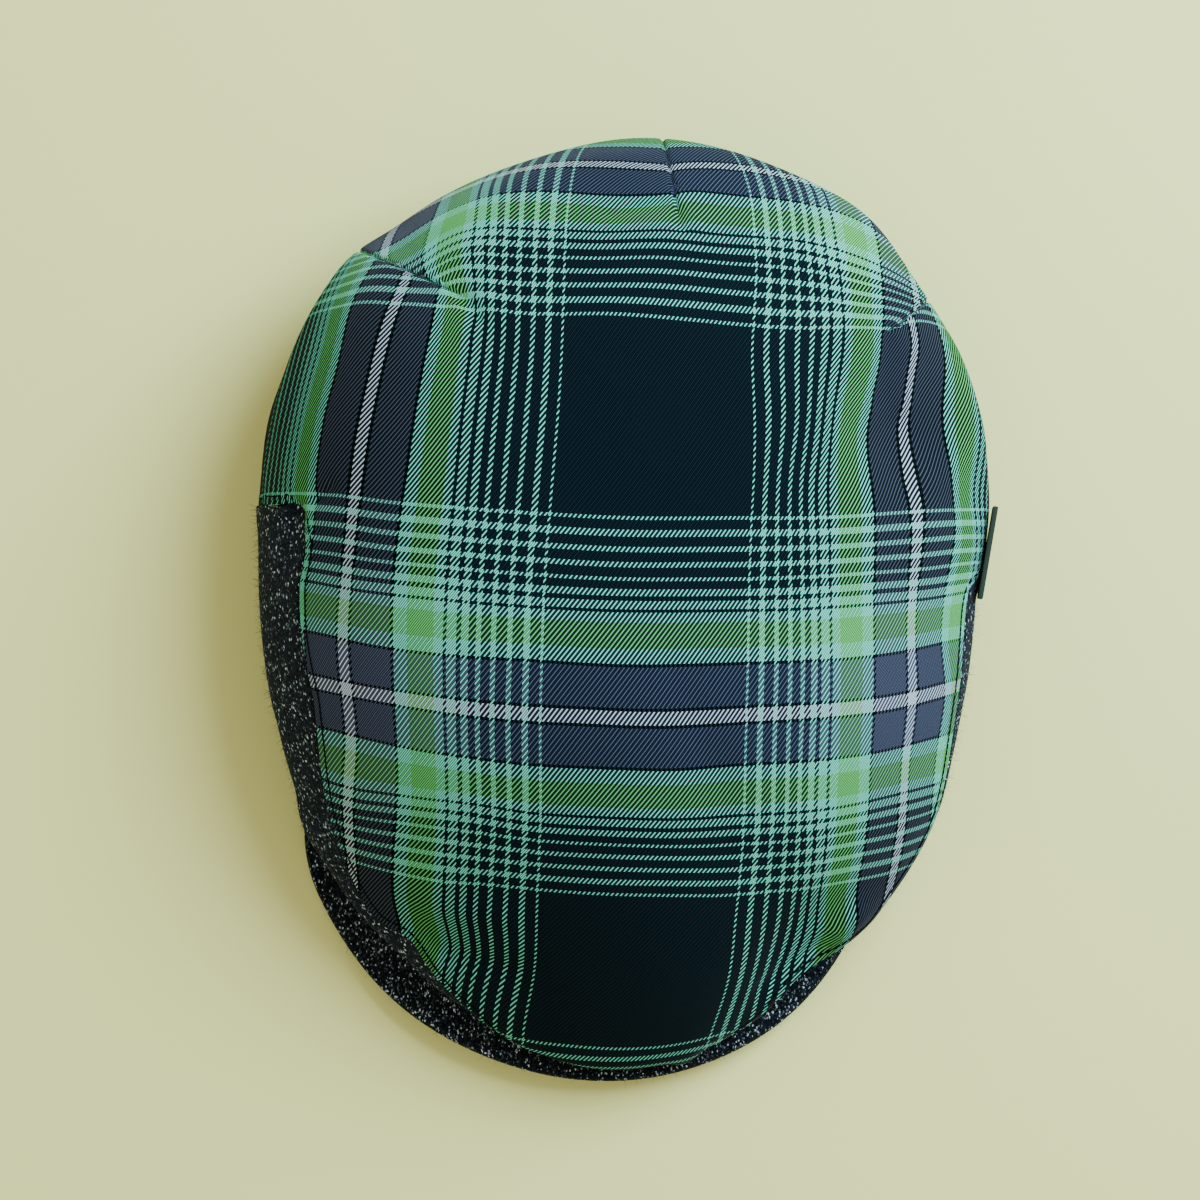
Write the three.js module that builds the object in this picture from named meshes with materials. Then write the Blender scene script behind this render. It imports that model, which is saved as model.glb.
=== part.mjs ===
// A flat cap at rest on its hem: a tartan crown over a dark tweed peak, with a tweed panel at each side
// and a plain woven tab on the right. Millimetres, +Z up. The peak points along -Y, and +X is to the
// right of the cap as it is seen from above with its peak towards the viewer. The origin is the middle
// of the cap's footprint, at its hem.
import * as THREE from "three";

const CLOTH = 2.2; // the crown's wall: cloth, interlining and seam allowance
const TWEED = 2.4; // the side panels' wall
const SEAM_GAP = 0.45; // between pieces that are sewn together
const FOOT_GAP = 0.55; // between the wall's foot and the peak, which curve differently
const LAP_STEP = 0.8; // how far the crown's turned edge stands proud of a side panel
const LAP_FADES = 12; // the height of panel under which that step dies away
const CROWN_TOP = 88;
const CROWN_MIDDLE = new THREE.Vector2(0, 10); // where the crown is highest, in plan
const TOP_FLATNESS = 0.15; // share of the reach over which the top is rounded off
const FULL_FALL = Math.sqrt(1 + TOP_FLATNESS ** 2) - TOP_FLATNESS;
const EVENED = 24; // distance over which the top's unevenness is drawn out
const MOST_EVENED = 1.4; // the same as a turn in radians, near the middle
const ROUND_STEP = 2; // steps up a side line while its turns are eased
const ROUND_PASSES = 22;
const DENTS_FADE = { from: 1.06, to: 0.9 }; // down a side line, where 1 is its widest point
const SHALLOWEST_DENT = 0.01;

// The head opening is an ellipse 580 mm round, set a little left of the crown, which leans right.
const HEM = { x: -7, y: 19.5, halfWidth: 86, halfLength: 98.5 };

// The crown and side panels, by azimuth in degrees from +X towards +Y.
// reach: plan distance from CROWN_MIDDLE to the widest point. height: of that point.
// hold: how far in the top stays level before it falls. edge: how sharply it turns at the widest point.
const SECTIONS = [
  { azimuth: 0, reach: 103.3, height: 32, hold: 1.85, edge: 1.12 },
  { azimuth: 15, reach: 109.0, height: 32, hold: 2.0, edge: 1.2 },
  { azimuth: 32, reach: 115.3, height: 32, hold: 2.2, edge: 1.3 },
  { azimuth: 49, reach: 121.8, height: 32, hold: 2.5, edge: 1.4 },
  { azimuth: 59, reach: 127.8, height: 31, hold: 2.7, edge: 1.5 },
  { azimuth: 70, reach: 128.5, height: 30, hold: 2.9, edge: 1.55 },
  { azimuth: 90, reach: 130.0, height: 30, hold: 3.05, edge: 1.6 },
  { azimuth: 106, reach: 126.8, height: 30, hold: 3.0, edge: 1.6 },
  { azimuth: 119, reach: 125.5, height: 31, hold: 2.95, edge: 1.55 },
  { azimuth: 127, reach: 124.6, height: 31.5, hold: 2.9, edge: 1.55 },
  { azimuth: 135, reach: 126.5, height: 32, hold: 2.85, edge: 1.5 },
  { azimuth: 152, reach: 120.5, height: 32, hold: 2.75, edge: 1.45 },
  { azimuth: 175, reach: 111.2, height: 32, hold: 2.6, edge: 1.4 },
  { azimuth: 195, reach: 111.5, height: 30, hold: 2.5, edge: 1.35 },
  { azimuth: 212, reach: 117.5, height: 25, hold: 2.25, edge: 1.27 },
  { azimuth: 225, reach: 124.5, height: 21, hold: 2.05, edge: 1.2 },
  { azimuth: 238, reach: 131.0, height: 18.5, hold: 1.87, edge: 1.13 },
  { azimuth: 250, reach: 138.5, height: 16.5, hold: 1.73, edge: 1.07 },
  { azimuth: 260, reach: 144.8, height: 15.5, hold: 1.65, edge: 1.04 },
  { azimuth: 270, reach: 148.3, height: 15, hold: 1.62, edge: 1.03 },
  { azimuth: 280, reach: 144.8, height: 15.5, hold: 1.62, edge: 1.04 },
  { azimuth: 288, reach: 136.8, height: 17, hold: 1.63, edge: 1.05 },
  { azimuth: 296, reach: 128.5, height: 19, hold: 1.65, edge: 1.06 },
  { azimuth: 306, reach: 126.0, height: 22.5, hold: 1.68, edge: 1.08 },
  { azimuth: 323, reach: 116.6, height: 28, hold: 1.74, edge: 1.1 },
  { azimuth: 342, reach: 106.0, height: 31, hold: 1.8, edge: 1.11 },
];

// The edge of the crown's cloth, by azimuth: 0 is at the foot of the wall, 1 at the widest point, and
// above 1 it lies that share of the reach in from the widest point. Where the crown's cloth runs down
// to the foot, round the back and at the front, it only guides the rings.
const CLOTH_EDGE = [
  { azimuth: -8, at: 1.02 },
  { azimuth: 0, at: 1.01 },
  { azimuth: 7.5, at: 0.86 },
  { azimuth: 30, at: 0.95 },
  { azimuth: 150, at: 1.02 },
  { azimuth: 172.5, at: 1.12 },
  { azimuth: 200, at: 1.12 },
  { azimuth: 222, at: 1.09 },
  { azimuth: 238, at: 1.055 },
  { azimuth: 250, at: 0.98 },
  { azimuth: 260, at: 0.7 },
  { azimuth: 280, at: 0.7 },
  { azimuth: 292, at: 0.9 },
  { azimuth: 304, at: 0.92 },
  { azimuth: 320, at: 0.95 },
  { azimuth: 338, at: 1.01 },
];

// Soft dents and folds in the crown: plan place, half-lengths along and across, the turn of the long
// axis from +X in degrees, and the depth, which is negative where the cloth swells.
const DENTS = [
  { name: "right shoulder", x: 84, y: 50, along: 20, across: 13, turn: 160, depth: 5.5 },
  { name: "behind it", x: 80, y: 82, along: 14, across: 9, turn: 120, depth: -2 },
  { name: "right of the peak", x: 57, y: -92, along: 24, across: 8, turn: 52, depth: 4.0 },
  { name: "left of the peak", x: -52, y: -99, along: 20, across: 5, turn: 150, depth: 1.8 },
  { name: "back, left of the seam", x: -12, y: 120, along: 14, across: 7, turn: 0, depth: 2.2 },
  { name: "left back corner", x: -62, y: 92, along: 16, across: 8, turn: 155, depth: 2.0 },
];

// The steps round the crown, and the columns where its back meets the side panels.
const COLUMNS = 96;
const COLUMN_TURN = 360 / COLUMNS;
const RIGHT_STEP = 2; // column of the upright seam at the right
const LEFT_STEP = 46; // column of the upright seam at the left
const PANEL_COLUMNS = 22; // from the upright seam forward
const PANEL_RINGS = 6;
const LAP_FROM = 0.6; // share of a panel's height from which it sinks under the crown's edge
const WALL_RINGS = 5;
const TOP_RINGS = 15;
const RING_CROWDING = 1.45; // above 1 they crowd towards the cloth's edge, where it turns most

// The peak: a stiff crescent round the front of the head opening, covered in tweed.
const PEAK = {
  thickness: 3.6,
  middle: new THREE.Vector2(-4, -10),
  depth: 130.4,
  halfWidth: { left: 107, right: 94 },
  squareness: { left: 2, right: 2.15 },
  archHalfWidth: 80,
  firstAzimuth: 206,
  lastAzimuth: 334,
  taperTurn: 22,
  narrowest: 0.3,
  endHeight: 4.2, // top face at the ends
  archRise: 13, // how much higher it is in the middle
  tipDrop: 5.5, // how much of that it loses from its root to its tip
};
const PEAK_COLUMNS = 52;
const PEAK_CELLS_ACROSS = 6;
const PEAK_RIM_CELLS = 4;
const FOOT_IN = 6; // how far in from its widest point the wall meets the peak
const RIM_SHOWN = 5; // the peak's rim is at least so far outside the wall's foot
const LIFT_TURN = 14; // degrees over which the hem rises on to the peak

// The woven tab, seen edge on from above: its two ends in plan, and its height on the wall.
const TAB = {
  back: new THREE.Vector2(108.3, 35.5),
  front: new THREE.Vector2(103.7, 8.2),
  thickness: 1.5,
  bottom: 25,
  top: 38,
  cells: { along: 8, up: 3 },
};

const radians = THREE.MathUtils.degToRad;
const smooth = THREE.MathUtils.smoothstep;
const lerp = THREE.MathUtils.lerp;

// A column of a table at an azimuth, on the smooth closed curve through its rows.
function around(table, column, azimuth) {
  const count = table.length;
  const row = (i) => {
    const turn = Math.floor(i / count);
    const entry = table[i - turn * count];
    return { a: entry.azimuth + 360 * turn, v: entry[column] };
  };
  const a = THREE.MathUtils.euclideanModulo(azimuth - table[0].azimuth, 360) + table[0].azimuth;
  let i = 0;
  while (row(i + 1).a <= a) i += 1;
  const [before, from, to, after] = [row(i - 1), row(i), row(i + 1), row(i + 2)];
  const span = to.a - from.a;
  const t = (a - from.a) / span;
  const leave = (span * (to.v - before.v)) / (to.a - before.a);
  const arrive = (span * (after.v - from.v)) / (after.a - from.a);
  return (
    from.v * (2 * t ** 3 - 3 * t ** 2 + 1) +
    leave * (t ** 3 - 2 * t ** 2 + t) +
    to.v * (3 * t ** 2 - 2 * t ** 3) +
    arrive * (t ** 3 - t ** 2)
  );
}

// The unit vector in plan at an azimuth.
function heading(azimuth) {
  return new THREE.Vector2(Math.cos(radians(azimuth)), Math.sin(radians(azimuth)));
}

// How far round the azimuth is from the front, in degrees.
function fromFront(azimuth) {
  return Math.abs(THREE.MathUtils.euclideanModulo(azimuth - 90, 360) - 180);
}

// The height of the peak's top face over a point in plan.
function peakTop(x, y) {
  const side = (x - HEM.x) / PEAK.archHalfWidth;
  const arch = Math.max(0, 1 - side ** 2);
  const root = HEM.y - HEM.halfLength;
  const tip = PEAK.middle.y - PEAK.depth;
  const out = THREE.MathUtils.clamp((root - y) / (root - tip), 0, 1);
  return PEAK.endHeight + (PEAK.archRise - PEAK.tipDrop * out) * arch;
}

// Where the wall stands: on the hem round the sides and back, and on the peak at the front.
function footOf(azimuth, wide) {
  const turn = radians(azimuth);
  const hem = new THREE.Vector2(
    HEM.x + HEM.halfWidth * Math.cos(turn),
    HEM.y + HEM.halfLength * Math.sin(turn),
  );
  const { way, rim } = peakSpanAt(azimuth);
  const reach = wide.distanceTo(CROWN_MIDDLE);
  const onPeak = CROWN_MIDDLE.clone().addScaledVector(way, Math.min(reach - FOOT_IN, rim - RIM_SHOWN));
  const peakSpan = (PEAK.lastAzimuth - PEAK.firstAzimuth) / 2;
  const lift = 1 - smooth(fromFront(azimuth), peakSpan, peakSpan + LIFT_TURN);
  const plan = hem.lerp(onPeak, lift);
  const inner = plan.clone().addScaledVector(heading(azimuth), -TWEED);
  const resting = Math.max(peakTop(plan.x, plan.y), peakTop(inner.x, inner.y)) + FOOT_GAP;
  return new THREE.Vector3(plan.x, plan.y, lift * resting);
}

// The height of the top over a place on it, by azimuth and share of the reach, drawn smooth as stretched
// cloth is: an average over the neighbouring azimuths within EVENED millimetres.
function topHeight(azimuth, share) {
  const STEPS = 4;
  const arm = SECTIONS[0].reach * share;
  const spread = Math.min(EVENED / Math.max(arm, EVENED / MOST_EVENED), MOST_EVENED);
  const fall = (Math.sqrt(share ** 2 + TOP_FLATNESS ** 2) - TOP_FLATNESS) / FULL_FALL;
  let [sum, weights] = [0, 0];
  for (let k = -STEPS; k <= STEPS; k += 1) {
    const turn = (THREE.MathUtils.radToDeg(spread) * 2 * k) / STEPS;
    const { height, hold, edge } = sectionAt(azimuth + turn);
    const rise = Math.max(0, 1 - fall ** hold) ** (1 / edge);
    const weight = Math.exp(-2 * (k / STEPS) ** 2);
    sum += weight * lerp(height, CROWN_TOP, rise);
    weights += weight;
  }
  return sum / weights;
}

// How the top falls at an azimuth, kept for each fifth of a degree.
const fallsMade = new Map();
function sectionAt(azimuth) {
  const PER_DEGREE = 5;
  const key = Math.round(THREE.MathUtils.euclideanModulo(azimuth, 360) * PER_DEGREE);
  if (!fallsMade.has(key)) {
    const read = (column) => around(SECTIONS, column, key / PER_DEGREE);
    fallsMade.set(key, { height: read("height"), hold: read("hold"), edge: read("edge") });
  }
  return fallsMade.get(key);
}

// The line up one side, from foot to top, as points with their place on it: 0 foot, 1 widest, 2 top.
function sideLine(azimuth) {
  const WALL_SAMPLES = 16;
  const TOP_SAMPLES = 70;
  const reach = around(SECTIONS, "reach", azimuth);
  const widest = topHeight(azimuth, 1);
  const wide = CROWN_MIDDLE.clone().addScaledVector(heading(azimuth), reach);
  const foot = footOf(azimuth, wide);
  const line = [];
  for (let i = 0; i < WALL_SAMPLES; i += 1) {
    const at = i / WALL_SAMPLES;
    const spread = 1 - (1 - at) ** 2;
    const plan = new THREE.Vector2(foot.x, foot.y).lerp(wide, spread);
    line.push({ at, point: new THREE.Vector3(plan.x, plan.y, lerp(foot.z, widest, at)) });
  }
  for (let i = 0; i <= TOP_SAMPLES; i += 1) {
    const share = 1 - i / TOP_SAMPLES;
    const plan = CROWN_MIDDLE.clone().addScaledVector(heading(azimuth), reach * share);
    line.push({ at: 2 - share, point: new THREE.Vector3(plan.x, plan.y, topHeight(azimuth, share)) });
  }
  return rounded(line, reach);
}

// A side line at even steps, its turns eased to the roundness of folded cloth, still as wide as reach.
function rounded(line, reach) {
  const lengths = runningLengths(line);
  const count = Math.round(lengths.at(-1) / ROUND_STEP);
  let eased = [];
  for (let i = 0; i <= count; i += 1) eased.push(pointAlong(line, lengths, i / count));
  for (let pass = 0; pass < ROUND_PASSES; pass += 1)
    eased = eased.map((entry, i) => {
      if (i === 0 || i === count) return entry;
      const [before, after] = [eased[i - 1], eased[i + 1]];
      const point = before.point.clone().lerp(after.point, 0.5).lerp(entry.point, 0.5);
      return { at: ((before.at + after.at) / 2 + entry.at) / 2, point };
    });
  const outFrom = ({ point }) => Math.hypot(point.x - CROWN_MIDDLE.x, point.y - CROWN_MIDDLE.y);
  const grow = reach / Math.max(...eased.map(outFrom));
  const grown = ({ at, point }) => {
    const wider = lerp(1, grow, smooth(at, 0, 1));
    const plan = new THREE.Vector2(point.x, point.y).sub(CROWN_MIDDLE).multiplyScalar(wider);
    plan.add(CROWN_MIDDLE);
    return { at, point: new THREE.Vector3(plan.x, plan.y, point.z) };
  };
  return eased.map(grown);
}

// How far each point of a line is from its start, along it.
function runningLengths(line) {
  const lengths = [0];
  for (let i = 1; i < line.length; i += 1)
    lengths.push(lengths[i - 1] + line[i].point.distanceTo(line[i - 1].point));
  return lengths;
}

// The point a share of the way along a line.
function pointAlong(line, lengths, share) {
  const wanted = share * lengths.at(-1);
  let i = 1;
  while (i < lengths.length - 1 && lengths[i] < wanted) i += 1;
  const t = (wanted - lengths[i - 1]) / Math.max(lengths[i] - lengths[i - 1], Number.EPSILON);
  const [from, to] = [line[i - 1], line[i]];
  return { at: lerp(from.at, to.at, t), point: from.point.clone().lerp(to.point, t) };
}

// The stretches of a side line below and above the cloth's edge, each with its running length.
const lines = new Map();
function stretches(azimuth) {
  const key = THREE.MathUtils.euclideanModulo(azimuth, 360).toFixed(4);
  if (lines.has(key)) return lines.get(key);
  const line = sideLine(azimuth);
  const edgeAt = Math.max(0, around(CLOTH_EDGE, "at", azimuth));
  let i = 1;
  while (line[i].at < edgeAt) i += 1;
  const t = (edgeAt - line[i - 1].at) / (line[i].at - line[i - 1].at);
  const edge = { at: edgeAt, point: line[i - 1].point.clone().lerp(line[i].point, t) };
  const measured = (points) => ({ points, lengths: runningLengths(points) });
  const made = {
    below: measured([...line.slice(0, i), edge]),
    above: measured([edge, ...line.slice(i)]),
  };
  lines.set(key, made);
  return made;
}

// A point on the smooth form: along runs 0 to 1 from the foot to the cloth's edge, and 1 to 2 on to the top.
function form(azimuth, along) {
  const { below, above } = stretches(azimuth);
  if (along < 1) return pointAlong(below.points, below.lengths, along);
  return pointAlong(above.points, above.lengths, Math.min(along, 2) - 1);
}

// A place on a side line, moved a distance up it.
function moved(azimuth, along, distance) {
  const { below, above } = stretches(azimuth);
  const [low, high] = [below.lengths.at(-1), above.lengths.at(-1)];
  const reached = (along < 1 ? along * low : low + (along - 1) * high) + distance;
  return reached < low ? Math.max(reached / low, 0) : Math.min(1 + (reached - low) / high, 2);
}

// The outward normal of a surface given as a function of azimuth and along.
const UP = new THREE.Vector3(0, 0, 1);
function normalOf(surface, azimuth, along) {
  const TURN_STEP = 0.8;
  const UP_STEP = 1.5;
  const higher = moved(azimuth, along, UP_STEP);
  if (higher >= 2) return UP.clone();
  const round = surface(azimuth + TURN_STEP, along).sub(surface(azimuth - TURN_STEP, along));
  const up = surface(azimuth, higher).sub(surface(azimuth, moved(azimuth, along, -UP_STEP)));
  return round.cross(up).normalize();
}

// How deep the dents are at a point in plan.
function dentDepth(x, y) {
  return DENTS.reduce((depth, dent) => {
    const [c, s] = [Math.cos(radians(dent.turn)), Math.sin(radians(dent.turn))];
    const u = ((x - dent.x) * c + (y - dent.y) * s) / dent.along;
    const v = ((y - dent.y) * c - (x - dent.x) * s) / dent.across;
    return depth + dent.depth * Math.exp(-(u ** 2 + v ** 2));
  }, 0);
}

// The cap's outer skin, dents and all. The dents fade out below the widest point.
function skin(azimuth, along) {
  const { at, point } = form(azimuth, along);
  const depth = dentDepth(point.x, point.y) * smooth(at, DENTS_FADE.to, DENTS_FADE.from);
  if (Math.abs(depth) < SHALLOWEST_DENT) return point;
  return point.addScaledVector(
    normalOf((a, b) => form(a, b).point, azimuth, along),
    -depth,
  );
}

// A point a given depth inside the skin, square to it at squareTo. The foot is cut level, so there it
// moves straight inwards.
function inside(azimuth, along, depth, squareTo = along) {
  const normal = normalOf(skin, azimuth, squareTo);
  if (along <= 0) normal.setZ(0).normalize();
  return skin(azimuth, along).addScaledVector(normal, -depth);
}

// A shell over the cells of a grid that belongs() keeps. outer and inner give its two faces at a ring
// and column; the last ring may be one point, and columns may close on themselves.
function shell({ rings, columns, closed, pole, outer, inner, belongs }) {
  const positions = [];
  const faces = [];
  const ids = new Map();
  const at = (face, ring, column) => {
    const atPole = pole && ring === rings;
    const c = atPole ? 0 : closed ? column % columns : column;
    const key = `${face === outer ? "o" : "i"}${ring},${c}`;
    if (!ids.has(key)) {
      ids.set(key, positions.length / 3);
      positions.push(...face(ring, c).toArray());
    }
    return ids.get(key);
  };
  const triangle = (a, b, c) => {
    if (a !== b && b !== c && c !== a) faces.push(a, b, c);
  };
  const quad = (a, b, c, d) => {
    triangle(a, b, c);
    triangle(a, c, d);
  };
  const kept = (ring, column) => {
    if (ring < 0 || ring >= rings) return false;
    if (!closed && (column < 0 || column >= columns)) return false;
    return belongs(ring, THREE.MathUtils.euclideanModulo(column, columns));
  };
  for (let r = 0; r < rings; r += 1)
    for (let c = 0; c < columns; c += 1) {
      if (!kept(r, c)) continue;
      const corners = [[r, c], [r, c + 1], [r + 1, c + 1], [r + 1, c]];
      quad(...corners.map(([i, j]) => at(outer, i, j)));
      quad(...corners.map(([i, j]) => at(inner, i, j)).reverse());
      const beyond = [[r - 1, c], [r, c + 1], [r + 1, c], [r, c - 1]];
      corners.forEach((from, k) => {
        if (kept(...beyond[k]) || (pole && k === 2 && r + 1 === rings)) return;
        const to = corners[(k + 1) % 4];
        quad(at(outer, ...to), at(outer, ...from), at(inner, ...from), at(inner, ...to));
      });
    }
  const geometry = new THREE.BufferGeometry();
  geometry.setAttribute("position", new THREE.Float32BufferAttribute(positions, 3));
  geometry.setIndex(faces);
  geometry.computeVertexNormals();
  return geometry;
}

// Whether the wall at a column of the crown's grid is a side panel's.
function isPanelColumn(column) {
  const onLeft = column >= LEFT_STEP && column < LEFT_STEP + PANEL_COLUMNS;
  const fromRightTip = (column - RIGHT_STEP + PANEL_COLUMNS + COLUMNS) % COLUMNS;
  return onLeft || fromRightTip < PANEL_COLUMNS;
}

// The crown: one piece of cloth from the peak over the top and down the back to the hem.
function crownGeometry() {
  const rings = WALL_RINGS + TOP_RINGS;
  const onTop = (ring) => 1 + ((ring - WALL_RINGS) / TOP_RINGS) ** RING_CROWDING;
  const along = (ring) => (ring < WALL_RINGS ? ring / WALL_RINGS : onTop(ring));
  return shell({
    rings,
    columns: COLUMNS,
    closed: true,
    pole: true,
    outer: (ring, column) => skin(column * COLUMN_TURN, along(ring)),
    inner: (ring, column) => inside(column * COLUMN_TURN, along(ring), CLOTH),
    belongs: (ring, column) => ring >= WALL_RINGS || !isPanelColumn(column),
  });
}

// A side panel, from the upright seam forward to where it runs out between crown and peak. Its columns
// are the crown's, so that the two edges run side by side.
function panelGeometry(seamColumn, way) {
  const rings = PANEL_RINGS;
  const columns = PANEL_COLUMNS;
  const seamShift = THREE.MathUtils.radToDeg(SEAM_GAP / SECTIONS[0].reach) / COLUMN_TURN;
  const azimuth = (column) => {
    const fromSeam = way < 0 ? columns - column : column;
    const kept = THREE.MathUtils.clamp(fromSeam, seamShift, columns - seamShift);
    return COLUMN_TURN * (seamColumn + way * kept);
  };
  const face = (depth) => (ring, column) => {
    const a = azimuth(column);
    const height = stretches(a).below.lengths.at(-1);
    const along = (ring / rings) * (1 - SEAM_GAP / height);
    const lap = LAP_STEP * Math.min(1, height / LAP_FADES) * smooth(ring / rings, LAP_FROM, 1);
    return inside(a, along, depth + lap, ring === rings ? 1 : along);
  };
  return shell({
    rings,
    columns,
    closed: false,
    pole: false,
    outer: face(0),
    inner: face(TWEED),
    belongs: () => true,
  });
}

// The peak's outline and root at an azimuth from CROWN_MIDDLE, in plan.
function peakSpanAt(azimuth) {
  const toRoot = new THREE.Vector2(HEM.x, HEM.y).sub(CROWN_MIDDLE);
  const way = heading(azimuth);
  const root = castTo(way, toRoot, HEM.halfLength, bothSides(HEM.halfWidth), bothSides(2));
  const toPeak = PEAK.middle.clone().sub(CROWN_MIDDLE);
  const rim = castTo(way, toPeak, PEAK.depth, PEAK.halfWidth, PEAK.squareness);
  const fromEnd = (PEAK.lastAzimuth - PEAK.firstAzimuth) / 2 - fromFront(azimuth);
  const ends = THREE.MathUtils.clamp(fromEnd / PEAK.taperTurn, 0, 1);
  const full = lerp(PEAK.narrowest, 1, Math.sin((Math.PI / 2) * ends));
  return { way, root, rim: lerp(root, rim, full) };
}

// The same value for the left half and the right.
function bothSides(value) {
  return { left: value, right: value };
}

// How far a ray from CROWN_MIDDLE runs to a superellipse, by halving. Its left and right halves may
// differ in width and in squareness, 2 being an ellipse's.
function castTo(way, centre, halfLength, halfWidth, squareness) {
  const HALVINGS = 40;
  let [near, far] = [0, 2 * (halfLength + centre.length())];
  for (let i = 0; i < HALVINGS; i += 1) {
    const mid = (near + far) / 2;
    const side = way.x * mid < centre.x ? "left" : "right";
    const power = squareness[side];
    const x = Math.abs(way.x * mid - centre.x) / halfWidth[side];
    const y = Math.abs(way.y * mid - centre.y) / halfLength;
    if (x ** power + y ** power < 1) near = mid;
    else far = mid;
  }
  return near;
}

// The peak, swept from end to end as a flat plate with a rounded rim.
function peakGeometry() {
  const [across, round] = [PEAK_CELLS_ACROSS, PEAK_RIM_CELLS];
  const half = PEAK.thickness / 2;
  const sections = [];
  for (let i = 0; i <= PEAK_COLUMNS; i += 1) {
    const azimuth = lerp(PEAK.firstAzimuth, PEAK.lastAzimuth, i / PEAK_COLUMNS);
    const { way, root, rim } = peakSpanAt(azimuth);
    const place = (distance, lift) => {
      const plan = CROWN_MIDDLE.clone().addScaledVector(way, distance);
      return new THREE.Vector3(plan.x, plan.y, peakTop(plan.x, plan.y) - half + lift);
    };
    const flatEnd = rim - half;
    const onFace = (k, lift) => place(lerp(root, flatEnd, k / across), lift);
    const section = [];
    for (let k = 0; k <= across; k += 1) section.push(onFace(k, half));
    for (let k = 1; k < round; k += 1) {
      const turn = Math.PI * (0.5 - k / round);
      section.push(place(flatEnd + half * Math.cos(turn), half * Math.sin(turn)));
    }
    for (let k = across; k >= 0; k -= 1) section.push(onFace(k, -half));
    sections.push(section);
  }
  const size = sections[0].length;
  const faces = [];
  for (let i = 0; i < PEAK_COLUMNS; i += 1)
    for (let k = 0; k < size; k += 1) {
      const [a, b] = [i * size + k, i * size + ((k + 1) % size)];
      const [c, d] = [b + size, a + size];
      faces.push(a, b, c, a, c, d);
    }
  const last = PEAK_COLUMNS * size;
  for (let k = 1; k + 1 < size; k += 1) {
    faces.push(0, k + 1, k);
    faces.push(last, last + k, last + k + 1);
  }
  const geometry = new THREE.BufferGeometry();
  const positions = sections.flat().flatMap((point) => point.toArray());
  geometry.setAttribute("position", new THREE.Float32BufferAttribute(positions, 3));
  geometry.setIndex(faces);
  geometry.computeVertexNormals();
  return geometry;
}

// The woven tab: a flat strip folded in two, upright against the right side panel.
function tabGeometry() {
  const along = TAB.front.clone().sub(TAB.back);
  const height = TAB.top - TAB.bottom;
  const { cells } = TAB;
  const strip = new THREE.BoxGeometry(along.length(), TAB.thickness, height, cells.along, 1, cells.up);
  strip.rotateZ(along.angle());
  const middle = TAB.back.clone().lerp(TAB.front, 0.5);
  return strip.translate(middle.x, middle.y, TAB.bottom + height / 2);
}

function cloth(color, roughness) {
  return new THREE.MeshStandardMaterial({ color, roughness, metalness: 0 });
}

const tartan = cloth(0x2c4a4c, 0.85);
const tweed = cloth(0x23272b, 0.95);
const ribbon = cloth(0x1f3a2e, 0.8);

const pieces = [
  { name: "crown", geometry: crownGeometry(), material: tartan },
  { name: "side_panel_left", geometry: panelGeometry(LEFT_STEP, 1), material: tweed },
  { name: "side_panel_right", geometry: panelGeometry(RIGHT_STEP, -1), material: tweed },
  { name: "peak", geometry: peakGeometry(), material: tweed },
  { name: "side_tab", geometry: tabGeometry(), material: ribbon },
];

const cap = new THREE.Group();
for (const { name, geometry, material } of pieces) {
  const mesh = new THREE.Mesh(geometry, material);
  mesh.name = name;
  cap.add(mesh);
}
const box = new THREE.Box3().setFromObject(cap);
const middle = box.getCenter(new THREE.Vector3());
cap.position.set(-middle.x, -middle.y, -box.min.z);

export default cap;
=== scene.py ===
import math

import bmesh
import bpy
import numpy as np
from mathutils import Matrix, Vector
from mathutils.bvhtree import BVHTree


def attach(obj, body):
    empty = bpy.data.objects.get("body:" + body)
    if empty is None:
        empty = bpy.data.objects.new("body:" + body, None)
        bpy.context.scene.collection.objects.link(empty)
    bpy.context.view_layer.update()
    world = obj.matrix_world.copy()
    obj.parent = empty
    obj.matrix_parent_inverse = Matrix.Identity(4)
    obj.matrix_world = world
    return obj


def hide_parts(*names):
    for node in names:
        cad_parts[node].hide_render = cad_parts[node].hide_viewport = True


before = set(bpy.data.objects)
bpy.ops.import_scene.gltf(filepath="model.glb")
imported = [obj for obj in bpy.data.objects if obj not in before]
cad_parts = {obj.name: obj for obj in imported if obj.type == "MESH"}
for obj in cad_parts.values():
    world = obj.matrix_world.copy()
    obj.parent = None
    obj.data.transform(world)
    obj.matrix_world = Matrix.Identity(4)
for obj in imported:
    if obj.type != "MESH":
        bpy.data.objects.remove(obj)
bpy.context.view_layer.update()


# --- View -----------------------------------------------------------------------------------------
# The cap is looked at from straight above, turned a little so that its back leans to the right.
CAMERA_OVER = (-0.0076, 0.0034)
CAMERA_HEIGHT = 1.1
CAMERA_ROLL = 2.5  # degrees
VIEW_LEVEL = 0.020  # the height at which the view is VIEW_WIDTH across
VIEW_WIDTH = 0.357

eye = bpy.data.cameras.new("eye")
eye.sensor_width = 36
eye.lens = eye.sensor_width * (CAMERA_HEIGHT - VIEW_LEVEL) / VIEW_WIDTH
eye.clip_start = 0.05
eye.clip_end = 20
camera = bpy.data.objects.new("camera", eye)
camera.location = (*CAMERA_OVER, CAMERA_HEIGHT)
camera.rotation_euler = (0, 0, math.radians(CAMERA_ROLL))
bpy.context.collection.objects.link(camera)
bpy.context.scene.camera = camera


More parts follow.
